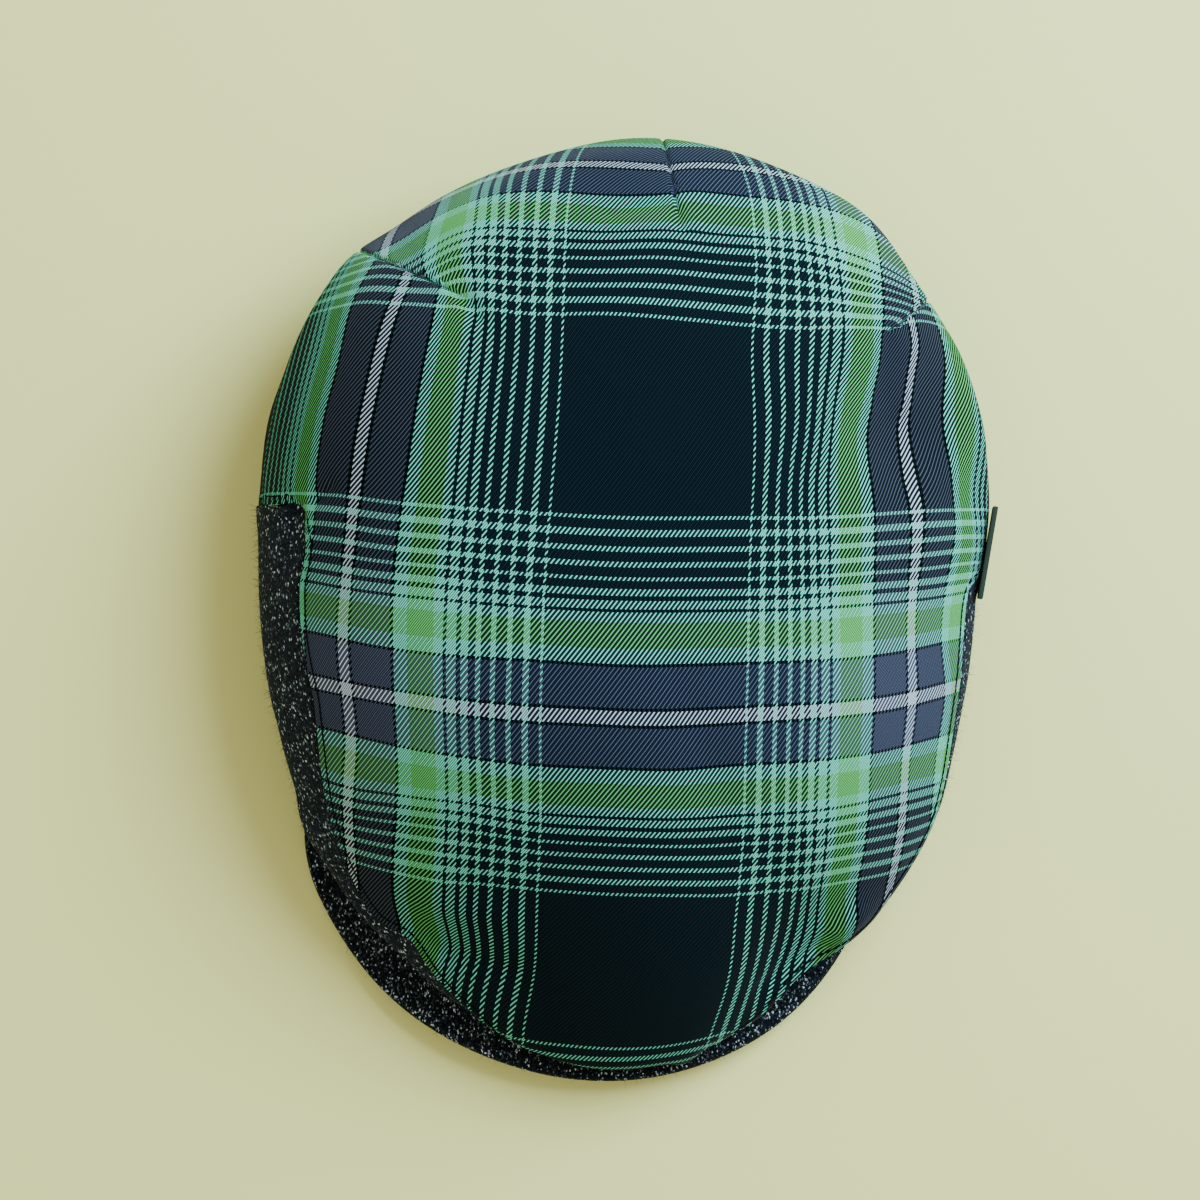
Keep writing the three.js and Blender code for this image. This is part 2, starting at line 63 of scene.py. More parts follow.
# --- Table and light ------------------------------------------------------------------------------
# A smooth cream table top. One wide soft lamp, a little blue, hangs up behind the cap on its right, and
# the rest of the light comes evenly from a warm pale room.
CREAM = (0.76, 0.79, 0.28, 1)
FLOOR_HALF = 4.0
WINDOW = {"size": 0.8, "energy": 32, "colour": (0.70, 0.83, 1.0), "place": (0.60, 0.54, 0.8)}
ROOM = {"colour": (1.0, 0.92, 0.72, 1), "strength": 0.80}


def meshed(shape, name):
    """A mesh from a bmesh, which isn't needed any more, shaded smooth."""
    mesh = bpy.data.meshes.new(name)
    shape.to_mesh(mesh)
    shape.free()
    mesh.shade_smooth()
    return mesh


def made(shape, name):
    """A new object from a bmesh."""
    piece = bpy.data.objects.new(name, meshed(shape, name))
    bpy.context.collection.objects.link(piece)
    return piece


table = bmesh.new()
bmesh.ops.create_grid(table, x_segments=4, y_segments=4, size=FLOOR_HALF)
floor = made(table, "table_top")
paint = bpy.data.materials.new("cream_board")
paint.use_nodes = True
board = paint.node_tree.nodes["Principled BSDF"]
board.inputs["Base Color"].default_value = CREAM
board.inputs["Roughness"].default_value = 0.8
floor.data.materials.append(paint)

lamp = bpy.data.lights.new("window", "AREA")
lamp.shape = "DISK"
lamp.size = WINDOW["size"]
lamp.energy = WINDOW["energy"]
lamp.color = WINDOW["colour"]
window = bpy.data.objects.new("window", lamp)
window.location = WINDOW["place"]
window.rotation_euler = (-Vector(WINDOW["place"])).to_track_quat("-Z", "Y").to_euler()
bpy.context.collection.objects.link(window)

room = bpy.data.worlds.new("room")
room.use_nodes = True
room.node_tree.nodes["Background"].inputs["Color"].default_value = ROOM["colour"]
room.node_tree.nodes["Background"].inputs["Strength"].default_value = ROOM["strength"]
bpy.context.scene.world = room


# --- Crown ----------------------------------------------------------------------------------------
# One piece of tartan twill over the whole top, from the peak to the hem at the back, shaped by three
# darts at the back. At the sides it is turned under and topstitched down over the tweed panels.
# Inside it is lined with black cotton.
CROWN_WALL = 0.0018
INSIDE = Vector((0.0009, 0.0104, 0.005))  # a place in the hollow from which all of the wall is seen
SAME_FACE = math.radians(50)
THREADS = {"warp": 0.352, "weft": 0.50}  # mm from one thread to the next
SETT_REPEAT = 180.0  # mm
STRETCH = 1.06  # mm of cloth to 1 mm of wall, where the wall turns down beyond the lines below

# The check, from the middle of a dark block to the middle of a white line, then mirrored: where each
# stripe starts, in mm, and its dye.
DARK, MINT, GREEN, NAVY, WHITE, BLACK = "dark", "mint", "green", "navy", "white", "black"
SETT = [
    (0.0, DARK),
    (30.0, MINT),
    (30.7, DARK),
    (34.0, MINT),
    (35.6, DARK),
    (38.8, MINT),
    (40.4, DARK),
    (43.3, MINT),
    (45.0, DARK),
    (47.5, MINT),
    (49.1, DARK),
    (51.0, MINT),
    (53.1, DARK),
    (54.6, MINT),
    (57.4, DARK),
    (58.5, MINT),
    (61.4, GREEN),
    (69.6, MINT),
    (73.8, BLACK),
    (74.7, NAVY),
    (87.0, BLACK),
    (88.2, WHITE),
]
DYES = {
    "warp": {
        DARK: (0.0062, 0.0175, 0.0300, 1),
        MINT: (0.18, 0.86, 0.66, 1),
        GREEN: (0.125, 0.61, 0.165, 1),
        NAVY: (0.060, 0.073, 0.118, 1),
        WHITE: (0.62, 0.76, 0.95, 1),
        BLACK: (0.0010, 0.0030, 0.004, 1),
    },
    "weft": {
        DARK: (0.0025, 0.0110, 0.0140, 1),
        MINT: (0.18, 0.86, 0.66, 1),
        GREEN: (0.125, 0.61, 0.165, 1),
        NAVY: (0.068, 0.092, 0.165, 1),
        WHITE: (0.62, 0.76, 0.95, 1),
        BLACK: (0.0010, 0.0030, 0.004, 1),
    },
}

# Where the check's lines lie on the crown, in mm as it is looked down on at VIEW_LEVEL. Each row has
# its line's place in the cloth, from the middle of the top's dark block, and marks (x, y) along it.
VIEW_SHIFT = (0.9, 0.4)  # from the model's middle to the middle that the marks count from, in mm
LENGTHWISE = [
    (-135.9, [(-103.5, 58), (-106.3, 40)]),
    (-118.6, [(-93.2, 78), (-98, 58), (-100.2, 40)]),
    (-105.8, [(-86.8, 86), (-88.3, 78), (-92.1, 58), (-94.4, 40)]),
    (-105.8, [(-94.3, 27), (-94.4, 17), (-95.9, -1)]),
    (-90.0, [(-74.3, 112), (-75.8, 108), (-77, 104.5), (-69.8, 96), (-71.5, 92)]),
    (-90.0, [(-75.9, 78), (-79.7, 58), (-81.9, 40), (-83.7, 15), (-84.4, 0)]),
    (-90.0, [(-84.2, -16), (-80.7, -40), (-81, -58), (-79.5, -75)]),
    (-73.8, [(-61.5, 117), (-63.8, 111), (-64.3, 106), (-66, 100.5), (-60.5, 91.3)]),
    (-73.8, [(-62.5, 78), (-65.2, 58), (-67, 40), (-69, -16)]),
    (-73.8, [(-67, -40), (-65.6, -58), (-64.8, -92), (-63.5, -98)]),
    (-61.4, [(-53.4, 113), (-53.4, 102), (-53.1, 78), (-54.8, 58), (-55.9, 40), (-57.2, -16)]),
    (-61.4, [(-55.6, -40), (-54.5, -58), (-53.9, -88), (-52.7, -96), (-51.5, -101.5)]),
    (-56.0, [(-47.9, 124), (-49, 102), (-47.8, 78), (-49.5, 58), (-50.6, 40)]),
    (-56.0, [(-51.8, -16), (-50.6, -40), (-49.2, -58), (-48.7, -88)]),
    (-56.0, [(-48, -94), (-47, -100.5), (-47.5, -106.5), (-48.4, -112)]),
    (-44.1, [(-36.2, 124), (-36.5, 102), (-36.2, 78), (-37.2, 58), (-38.1, 40)]),
    (-44.1, [(-39.3, -16), (-38.5, -40), (-37.2, -58), (-37, -87.5)]),
    (-44.1, [(-36.8, -94), (-35.9, -102.5), (-36.6, -110), (-38, -118)]),
    (-30.3, [(-22.4, 124), (-23.1, 102), (-22.8, 78), (-23.1, 58), (-23.8, 40)]),
    (-30.3, [(-24.9, 5), (-24.7, -16), (-24.1, -40), (-23.2, -58)]),
    (-30.3, [(-22.9, -90), (-22.7, -100), (-23.2, -111), (-25, -123)]),
    (30.3, [(31, 124), (33.5, 102), (33.2, 78), (34.8, 58), (35.5, 40), (36, -16)]),
    (30.3, [(36.4, -40), (36.8, -58), (35.5, -92), (33.6, -112), (30, -124)]),
    (44.1, [(42.8, 124), (45.5, 102), (46.5, 78), (47.7, 58), (46.3, 40)]),
    (44.1, [(48.8, -16), (49.2, -40), (49.6, -58), (48.1, -92), (43.7, -112)]),
    (56.0, [(52.3, 124), (56.9, 102), (58.5, 78), (56.5, 58), (55.5, 40)]),
    (56.0, [(59.2, -16), (59.4, -40), (59.6, -58), (58, -92), (50, -112)]),
    (61.4, [(61.2, 102), (62.7, 78), (60.8, 58), (60.8, 40)]),
    (61.4, [(64, -16), (64.6, -40), (64.8, -58), (62, -92)]),
    (73.8, [(70.8, 102), (72.3, 84), (71.3, 72), (69.8, 66), (68.5, 60), (68.4, 54), (69.1, 48)]),
    (73.8, [(70.2, 42), (71.5, 33), (73.7, -16), (73.7, -40), (73.6, -58), (69.3, -92)]),
    (90.0, [(80.8, 104), (81.5, 84), (80.2, 73), (79.6, 66), (80.8, 57.5), (81.7, 49)]),
    (90.0, [(82.9, 42), (84.2, 36), (84.6, 31), (85.2, -16), (84.5, -40), (84.2, -58)]),
    (105.8, [(91, 78), (90.6, 66), (90.9, 59.5), (91.7, 54.5), (93.8, 48)]),
    (105.8, [(95.2, 42), (96.1, 33), (95.2, -16), (93, -40)]),
    (118.6, [(97.4, 74), (99.2, 67), (100.1, 60), (100.5, 52)]),
    (118.6, [(99.9, 43.5), (99.3, 37.5), (101.5, 29), (99.5, -10)]),
]
CROSSWISE = [
    (105.8, [(-12, 137.6), (4, 138)]),
    (90.0, [(-78, 109.3), (-74, 111.7), (-64.7, 118), (-58.7, 121), (-47.3, 126.7), (-28, 131.9)]),
    (90.0, [(-12, 132.9), (4, 132.4), (12, 133.3), (20, 133.6), (33, 132.9), (45, 130.6)]),
    (73.8, [(-76.5, 104.8), (-70.7, 108.2), (-62.7, 114.3), (-57, 117.2), (-50, 120.6)]),
    (73.8, [(-42, 122.2), (-28, 123.3), (-12, 123), (4, 124.2)]),
    (73.8, [(12, 125.4), (20, 125), (33, 124.3), (48, 123.1)]),
    (56.0, [(-65, 102), (-60, 106.5), (-54, 109.3), (-42, 110.8), (-28, 111), (-12, 111)]),
    (56.0, [(4, 112.2), (20, 111.5), (33, 111.4), (48, 110.5), (72, 104)]),
    (44.1, [(-87.3, 96), (-82, 98.7), (-76, 99.5), (-61, 97.3), (-55.3, 99.5)]),
    (44.1, [(-42, 100.1), (-28, 100.2), (-12, 100.5), (4, 101.4), (20, 100.8)]),
    (44.1, [(33, 100.2), (48, 99.5), (66, 97.3), (72, 96.3)]),
    (30.3, [(-95.3, 85.3), (-86, 87.9), (-76, 88.1), (-60, 88.1), (-42, 87.3)]),
    (30.3, [(-28, 87.1), (-12, 88.1), (4, 87.8), (20, 87), (33, 86.4)]),
    (30.3, [(48, 86.2), (66, 87.4), (73, 87.5), (79, 89.6), (85, 89.9)]),
    (-30.3, [(-86, 30.8), (-76, 29.8), (-60, 29), (-42, 28.4), (-28, 28.1), (4, 28.1), (20, 28.8)]),
    (-30.3, [(33, 29.5), (48, 30), (66, 31.4), (78, 32.9), (90, 34.1), (97, 34.6)]),
    (-44.1, [(-86, 17.6), (-76, 16.2), (-60, 15.5), (-42, 14.6), (-28, 14.3), (4, 14.1), (20, 14.9)]),
    (-44.1, [(33, 15.5), (48, 16.7), (66, 18.3), (78, 19.7), (90, 21.2), (97, 22.4)]),
    (-56.0, [(-86, 5.2), (-76, 4.3), (-60, 3.3), (-42, 2.4), (-28, 2.0), (-12, 1.9), (4, 2.2)]),
    (-56.0, [(20, 2.9), (33, 3.6), (48, 4.5), (66, 6.4), (78, 7.9), (90, 9.5), (97, 11.1)]),
    (-73.8, [(-90, -10.1), (-80, -12.3), (-70, -13.6), (-60, -14.4), (-42, -15.1)]),
    (-73.8, [(-28, -15.1), (-12, -15.6), (4, -15.4), (20, -14.4), (36, -13.2)]),
    (-73.8, [(48, -12.3), (66, -10.6), (78, -8.7), (90, -5.8), (96, -4.1)]),
    (-90.0, [(-90, -25.6), (-80, -27.2), (-70, -28.5), (-60, -29.6), (-42, -31.2)]),
    (-90.0, [(-28, -31.8), (-12, -31.8), (4, -31.8), (20, -30.9), (36, -29.3)]),
    (-90.0, [(48, -28.2), (66, -26.1), (78, -24.1), (90, -21)]),
    (-106.2, [(-90, -38.7), (-80, -41), (-70, -43), (-60, -44.7), (-42, -46.5)]),
    (-106.2, [(-28, -47.5), (4, -47.5), (20, -46.8), (36, -44.7)]),
    (-106.2, [(48, -43.6), (66, -41.2), (78, -38.7), (90, -34.9)]),
    (-124.0, [(-80, -58.2), (-70, -59), (-60, -59.9), (-42, -61), (-28, -62.8), (-12, -63.3)]),
    (-124.0, [(4, -63.3), (20, -62.8), (36, -61), (48, -59.9), (66, -57.2), (78, -53.9)]),
    (-135.9, [(-80, -67.5), (-70, -69.1), (-60, -70.1), (-42, -71.7), (-28, -72.7), (-12, -73.2)]),
    (-135.9, [(4, -73.2), (20, -72.8), (36, -71.7), (48, -70.4), (66, -67.2), (78, -64.4)]),
    (-149.7, [(-70, -80.1), (-60, -81.8), (-42, -83), (-28, -83.7), (-12, -84.4), (4, -84.4)]),
    (-149.7, [(20, -83.9), (36, -83), (48, -81.2), (66, -78.2), (78, -75.3)]),
    (-162.0, [(-48.4, -91.6), (-40.7, -91.3), (-37.1, -92.1)]),
    (-165.0, [(20, -96), (33, -95.4), (40, -95), (46, -93.6), (52, -92.8), (60, -91.3)]),
    (-178.0, [(-47.2, -98.5), (-39.6, -99.9), (-36.1, -101.4)]),
    (-180.0, [(0, -108.2), (20, -107.2), (33, -106.6), (40, -106), (46, -104.5), (52, -103)]),
    (-192.0, [(-48.4, -109.2), (-40.5, -109.4), (-36.3, -110.1)]),
    (-210.3, [(-29, -128.1), (-12, -129.6), (4, -129.9), (20, -128.2), (33, -124.4)]),
    (-214.8, [(-12, -133.2), (4, -133.2), (20, -130.6)]),
]
FIT_ROUNDNESS = 12.0  # mm; smaller follows each mark more sharply
FIT_EASE = 0.6  # how far the fit may leave a mark to stay smooth

# Each dart's tip and outer end, looked down on in the same way, and the wedge of cloth that it takes
# up, in degrees.
DARTS = [
    {"tip": (-54.5, 92.2), "end": (-79.5, 102.2), "wedge": 28},  # at the left
    {"tip": (9.6, 120), "end": (5.6, 136.5), "wedge": 22},  # at the back
    {"tip": (74.5, 87), "end": (82.5, 93.8), "wedge": 24},  # at the right
]
WEDGE_FADES = math.radians(110)  # how far round the tip the cloth is turned by the wedge


def merged(node):
    """A copy of one of the model's solids, with its loose triangles joined at their corners."""
    shape = bmesh.new()
    shape.from_mesh(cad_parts[node].data)
    bmesh.ops.remove_doubles(shape, verts=shape.verts, dist=1e-6)
    return shape


def paired(shape):
    """Joins its triangles into quads where they are nearly flat."""
    bmesh.ops.join_triangles(
        shape,
        faces=shape.faces,
        angle_face_threshold=math.radians(60),
        angle_shape_threshold=math.radians(80),
    )
    return shape


def outer_skin(node, way):
    """The outer face of one of the model's shells, as quads. way points to where the shell is outermost."""
    skin = merged(node)
    skin.normal_update()
    start = max(skin.faces, key=lambda face: face.calc_center_median().dot(way))
    kept = {start}
    waiting = [start]
    while waiting:
        face = waiting.pop()
        for other in [other for edge in face.edges for other in edge.link_faces]:
            faces_out = other.normal.dot(other.calc_center_median() - INSIDE) > 0
            if other not in kept and faces_out and face.normal.angle(other.normal, 0) < SAME_FACE:
                kept.add(other)
                waiting.append(other)
    bmesh.ops.delete(skin, geom=[face for face in skin.faces if face not in kept], context="FACES")
    return paired(skin)


def finished(piece, kind, **settings):
    """Gives the object a modifier of that kind and makes the result its mesh."""
    modifier = piece.modifiers.new(kind.lower(), kind)
    for name, value in settings.items():
        setattr(modifier, name, value)
    result = bpy.data.meshes.new_from_object(piece.evaluated_get(bpy.context.evaluated_depsgraph_get()))
    piece.modifiers.clear()
    piece.data = result
    piece.data.shade_smooth()


SMOOTHER = {"levels": 2, "render_levels": 2, "boundary_smooth": "PRESERVE_CORNERS"}
crown = made(outer_skin("crown", Vector((0, 0, 1))), "crown_cloth")
finished(crown, "SUBSURF", **SMOOTHER)


class Dome:
    """Distances over the crown from its middle, in mm, along lines straight down its sides."""

    TURN_STEP = 2  # degrees round the crown from line to line
    FALL_STEP = 1  # degrees down a line from place to place
    LOWEST = -6

    def __init__(self, mesh):
        shape = bmesh.new()
        shape.from_mesh(mesh)
        self.skin = BVHTree.FromBMesh(shape)
        shape.free()
        self.turns = np.arange(0, 360 + self.TURN_STEP, self.TURN_STEP)
        self.falls = np.arange(90, self.LOWEST - self.FALL_STEP, -self.FALL_STEP)
        self.run = np.zeros((len(self.turns), len(self.falls)))
        self.widest = np.zeros(len(self.turns))
        for i, turn in enumerate(np.radians(self.turns)):
            self.run_down(i, turn)

    def run_down(self, i, turn):
        """Follows one side line from the middle to the hem, keeping its length and its widest place."""
        last = None
        step = 0.0
        reach = 0.0
        for k, fall in enumerate(np.radians(self.falls)):
            way = Vector((math.cos(fall) * math.cos(turn), math.cos(fall) * math.sin(turn), math.sin(fall)))
            hit = self.skin.ray_cast(INSIDE, way)[0]
            if hit is not None:
                step = (hit - last).length * 1000 if last is not None else 0.0
                last = hit
            self.run[i, k] = (self.run[i, k - 1] if k else 0.0) + step
            if hit is not None and (hit - INSIDE).xy.length > reach:
                reach = (hit - INSIDE).xy.length
                self.widest[i] = self.run[i, k]

    def run_to(self, points):
        """The azimuth and the distance from the middle of points on the crown, an array in metres."""
        arm = points - np.array(INSIDE)
        turn = np.degrees(np.arctan2(arm[:, 1], arm[:, 0])) % 360
        fall = np.degrees(np.arcsin(arm[:, 2] / np.linalg.norm(arm, axis=1)))
        i = turn / self.TURN_STEP
        k = np.clip((90 - fall) / self.FALL_STEP, 0, len(self.falls) - 1.001)
        i0 = np.minimum(i.astype(int), len(self.turns) - 2)
        k0 = k.astype(int)
        a, b = i - i0, k - k0
        run = (
            self.run[i0, k0] * (1 - a) * (1 - b)
            + self.run[i0 + 1, k0] * a * (1 - b)
            + self.run[i0, k0 + 1] * (1 - a) * b
            + self.run[i0 + 1, k0 + 1] * a * b
        )
        widest = self.widest[i0] * (1 - a) + self.widest[i0 + 1] * a
        return np.radians(turn), run, widest

    def seen(self, x, y):
        """The place on the crown that is seen at x, y at VIEW_LEVEL, or None beyond its edge."""
        top = Vector((*CAMERA_OVER, CAMERA_HEIGHT))
        mark = Vector(((x + VIEW_SHIFT[0]) / 1000, (y + VIEW_SHIFT[1]) / 1000, VIEW_LEVEL))
        return self.skin.ray_cast(top, (mark - top).normalized())[0]


dome = Dome(crown.data)


class Cloth:
    """Where each place on the crown lies in the flat cloth, fitted to the lines of the check."""

    EDGE_INSIDE = 3.0  # mm inside the widest place, from where the cloth simply hangs on down
    BATCH = 20000  # places at a time

    def __init__(self):
        self.darts = []
        for dart in DARTS:
            tip, end = dome.seen(*dart["tip"]), dome.seen(*dart["end"])
            spread = self.spread(np.array([tip, end]))[0]
            self.darts.append({**dart, "tip": tip, "end": end, "flat_tip": spread[0], "flat_end": spread[1]})
        self.lengthwise = self.fit(LENGTHWISE)
        self.crosswise = self.fit(CROSSWISE)

    def spread(self, points, drawn_in=0.0):
        """The crown laid out flat about its middle. Points below the edge are held at the edge, less
        drawn_in; how far below they are comes second."""
        turn, run, widest = dome.run_to(points)
        edge = widest - self.EDGE_INSIDE
        held = np.minimum(run, edge) - np.where(run > edge, drawn_in, 0)
        flat = np.stack([held * np.cos(turn), held * np.sin(turn)], axis=1)
        return flat, np.maximum(run - edge, 0)

    def opened(self, flat, points):
        """The laid out crown with its darts let out again."""
        moved = flat.copy()
        for dart in self.darts:
            tip, way = dart["flat_tip"], dart["flat_end"] - dart["flat_tip"]
            arm = flat - tip
            turn = np.arctan2(way[0] * arm[:, 1] - way[1] * arm[:, 0], arm @ way)
            plan_way = np.array((dart["end"] - dart["tip"]).xy)
            plan_arm = points[:, :2] - np.array(dart["tip"].xy)
            side = np.sign(plan_way[0] * plan_arm[:, 1] - plan_way[1] * plan_arm[:, 0])
            # Beside the cut, a place that spreading has put over it counts as on it. Ahead of the tip
            # there is no cut.
            away = np.where(np.sign(turn) == side, np.abs(turn), 0.0)
            away = np.where(np.abs(turn) > math.pi / 2, np.abs(turn), away)
            ease = np.clip(1 - away / WEDGE_FADES, 0, 1)
            angle = side * math.radians(dart["wedge"]) / 2 * ease * ease * (3 - 2 * ease)
            c, s = np.cos(angle), np.sin(angle)
            moved += np.stack([c * arm[:, 0] - s * arm[:, 1], s * arm[:, 0] + c * arm[:, 1]], axis=1) - arm
        return moved

    def fit(self, lines):
        """A smooth field through the lines: its places, weights and plane."""
        seen = [(value, dome.seen(x, y)) for value, marks in lines for x, y in marks]
        seen = [(value, place) for value, place in seen if place is not None]
        points = np.array([place for _, place in seen])
        places = self.opened(self.spread(points)[0], points)
        count = len(places)
        sums = np.zeros((count + 3, count + 3))
        sums[:count, :count] = -self.bulge(places, places) + FIT_EASE * np.eye(count)
        sums[:count, count:] = np.hstack([np.ones((count, 1)), places])
        sums[count:, :count] = sums[:count, count:].T
        values = np.array([value for value, _ in seen] + [0, 0, 0])
        return places, np.linalg.solve(sums, values)

    @staticmethod
    def bulge(places, others):
        """How far each place is from each other one, rounded off near nothing."""
        gaps = ((places[:, None] - others[None]) ** 2).sum(axis=2)
        return np.sqrt(gaps + FIT_ROUNDNESS**2)

    def read(self, field, places):
        """The field's values at some places."""
        marks, weights = field
        near = -self.bulge(places, marks) @ weights[:-3]
        return near + weights[-3] + places @ weights[-2:]

    def at(self, points):
        """Cloth places in mm, lengthwise then crosswise lines, for points on the crown in metres."""
        fields = (self.lengthwise, self.crosswise)
        found = []
        for start in range(0, len(points), self.BATCH):
            part = points[start : start + self.BATCH]
            flat, below = self.spread(part)
            inner = self.spread(part, drawn_in=self.EDGE_INSIDE)[0]
            here, before = (
                np.stack([self.read(field, self.opened(place, part)) for field in fields], axis=1)
                for place in (flat, inner)
            )
            way = here - before
            length = np.maximum(np.linalg.norm(way, axis=1, keepdims=True), 1e-6)
            found.append(here + way / length * STRETCH * below[:, None])
        return np.concatenate(found)


cloth = Cloth()


INTO_FACE = 0.01  # each corner is read this share of the way to its face's middle


def mark_cloth(mesh):
    """Writes each face corner's place in the cloth, as seen from its own side of a dart."""
    corners = np.zeros(len(mesh.loops), dtype=int)
    mesh.loops.foreach_get("vertex_index", corners)
    points = np.zeros(len(mesh.vertices) * 3)
    mesh.vertices.foreach_get("co", points)
    points = points.reshape(-1, 3)[corners]
    sizes = np.array([face.loop_total for face in mesh.polygons])
    centres = np.array([face.center for face in mesh.polygons]).repeat(sizes, axis=0)
    places = cloth.at(points + (centres - points) * INTO_FACE)
    layer = mesh.attributes.new("cloth", "FLOAT_VECTOR", "CORNER")
    layer.data.foreach_set("vector", np.hstack([places, np.zeros((len(places), 1))]).ravel())


# The darts are cut into the mesh, with a finer mesh beside them for the seam's groove.
SEAM_GROOVE = {"depth": 0.0009, "half_width": 0.0006, "fades_in": 0.004, "starts": 0.003}
CUT_BESIDE = 0.006
FINE_BESIDE = 0.0028
FINE_ENOUGH = 0.0005

# Soft dents and ridges, each along a line between two places as looked down on. Out is in mm.
CROWN_FOLDS = [
    {"from": (60, -97), "to": (44, -110), "half_width": 2.6, "out": -0.5},
    {"from": (72, -88), "to": (68, -92), "half_width": 6, "out": 2.0},
    {"from": (-56, -90), "to": (-34, -93), "half_width": 5, "out": 0.8},
    {"from": (-52, -103), "to": (-30, -108), "half_width": 5, "out": -1.2},
    {"from": (74, 84), "to": (72, 68), "half_width": 3.2, "out": -1.2},
    {"from": (79, 82), "to": (79, 66), "half_width": 4, "out": 0.7},
    {"from": (68, 80), "to": (66, 64), "half_width": 4, "out": 0.5},
    {"from": (78, 56), "to": (80, 44), "half_width": 8, "out": -1.2},
    {"from": (9.6, 120), "to": (10.5, 116), "half_width": 2.0, "out": -0.9},
    {"from": (13, 121), "to": (15, 116), "half_width": 2.5, "out": 0.5},
    {"from": (3, 122), "to": (-10, 119), "half_width": 4, "out": -0.8},
    {"from": (-54, 92), "to": (-49, 86), "half_width": 2.4, "out": -0.8},
    {"from": (-56, 87), "to": (-53, 80), "half_width": 3.2, "out": 0.6},
    {"from": (-47, 92), "to": (-42, 86), "half_width": 3.2, "out": 0.5},
    {"from": (-95, 28), "to": (-90, 33), "half_width": 1.6, "out": -0.8},
    {"from": (-93, 24), "to": (-87, 25), "half_width": 2.0, "out": 0.5},
]

# Where the turned edge runs at the left and the front, and at the right, looked down on in the same way.
EDGE_LINES = [
    [
        *[(-112, 27.4), (-109.9, 27.2), (-105, 26.5), (-101, 26.4), (-96.4, 26.3), (-96.3, 17)],
        *[(-96.6, 10), (-97.9, 5), (-97.7, -1), (-97.2, -7), (-96.4, -13), (-94.6, -21)],
        *[(-92, -30), (-90.6, -40), (-89, -52), (-87, -62), (-83.7, -72), (-81.3, -78)],
        *[(-76.7, -87.3), (-71.7, -94.3), (-69.1, -96.3), (-67.1, -97.2), (-63.2, -98)],
        *[(-59.4, -100.6), (-57, -104.8), (-54.2, -108.9), (-48.6, -114.9), (-39, -122.6)],
        *[(-29, -129.6), (-19, -133.8), (-5, -136.4), (5, -136.4), (16, -134)],
        *[(27.5, -129.4), (35, -126), (40.7, -122.5), (44.5, -119.4), (47.6, -116.4)],
        *[(50.4, -112.8), (52.8, -109.6), (56, -106), (61.3, -101.8), (68.7, -97.5)],
    ],
    [(100.8, 14), (100.1, 6), (99.6, -16.5), (98, -31.6), (96.6, -44.2), (94.5, -56.8)],
]
EDGE_LOWEST = 0.012  # below this height the edge is the hem, which stays where it is
EDGE_REACH = 0.008  # how far from the edge the cloth is drawn along with it
EDGE_EASE = 0.003  # over how much of the edge neighbouring slides are evened out
EDGE_MOST = 5.0  # mm; a line further off than this isn't the edge's own
EDGE_FADED = 2.5  # a slide ends this many reaches from the edge
SLANTING = 0.2  # a line that is met more slantingly than this is passed over
STEEPEST = 0.6  # a slide climbs the cloth's slope as if it were never steeper than this
FOLD_FADED = 3  # a fold ends this many half widths from its line


def viewed(place):
    """The place at VIEW_LEVEL that is seen where this one is, in mm."""
    near = (CAMERA_HEIGHT - VIEW_LEVEL) / (CAMERA_HEIGHT - place.z)
    flat = Vector(CAMERA_OVER) + (place.xy - Vector(CAMERA_OVER)) * near
    return flat * 1000 - Vector(VIEW_SHIFT)


def to_line(place, way):
    """How far it is from a place to the nearest edge line, straight along a way, in mm."""
    steps = [0.0]
    for line in EDGE_LINES:
        for start, end in zip(line, line[1:]):
            run, arm = Vector(end) - Vector(start), Vector(start) - place
            turned = way.cross(run)
            if abs(turned) > SLANTING * run.length and 0 <= arm.cross(way) / turned <= 1:
                steps.append(arm.cross(run) / turned)
    near = [step for step in steps if 0 < abs(step) < EDGE_MOST]
    return min(near, key=abs, default=0.0)


class FreeEdge:
    """The crown's free edge, and the slide that lays each place on it on its line."""

    def __init__(self, shape):
        shape.normal_update()
        places, slides = [], []
        for vert in shape.verts:
            ends = [edge.other_vert(vert) for edge in vert.link_edges if edge.is_boundary]
            if len(ends) == 2 and vert.co.z > EDGE_LOWEST:
                run = (viewed(ends[1].co) - viewed(ends[0].co)).normalized()
                way = Vector((-run.y, run.x))
                slide = (way * to_line(viewed(vert.co), way) / 1000).to_3d()
                slide.z = -vert.normal.dot(slide) / max(vert.normal.z, STEEPEST)
                places.append(vert.co.copy())
                slides.append(slide)
        self.places = np.array(places)
        self.slides = np.array(slides)

    def draw(self, shape):
        """Slides a mesh along with the edge, less and less away from it."""
        for vert in shape.verts:
            gaps = ((self.places - np.array(vert.co)) ** 2).sum(axis=1)
            nearest = gaps.min()
            if nearest < (EDGE_FADED * EDGE_REACH) ** 2:
                shares = np.exp((nearest - gaps) / EDGE_EASE**2)
                slide = (shares @ self.slides) / shares.sum()
                vert.co += Vector(slide * math.exp(-nearest / EDGE_REACH**2))


# Where the cloth is drawn along by a slide, in mm: up into the step's corner, in at the left side behind
# it, and out a little at the right side.
DRAWN = [
    {"from": (-97, 21.4, 55), "to": (-96.5, 21.9, 55), "half_width": 5.5, "slide": (4.2, 4.4, 1.5)},
    {"from": (-95, 90, 28), "to": (-102.5, 68, 28), "half_width": 12, "slide": (2.3, -0.5, 0)},
    {"from": (97, 80, 30), "to": (102, 60, 30), "half_width": 10, "slide": (1.1, 0.3, 0)},
]


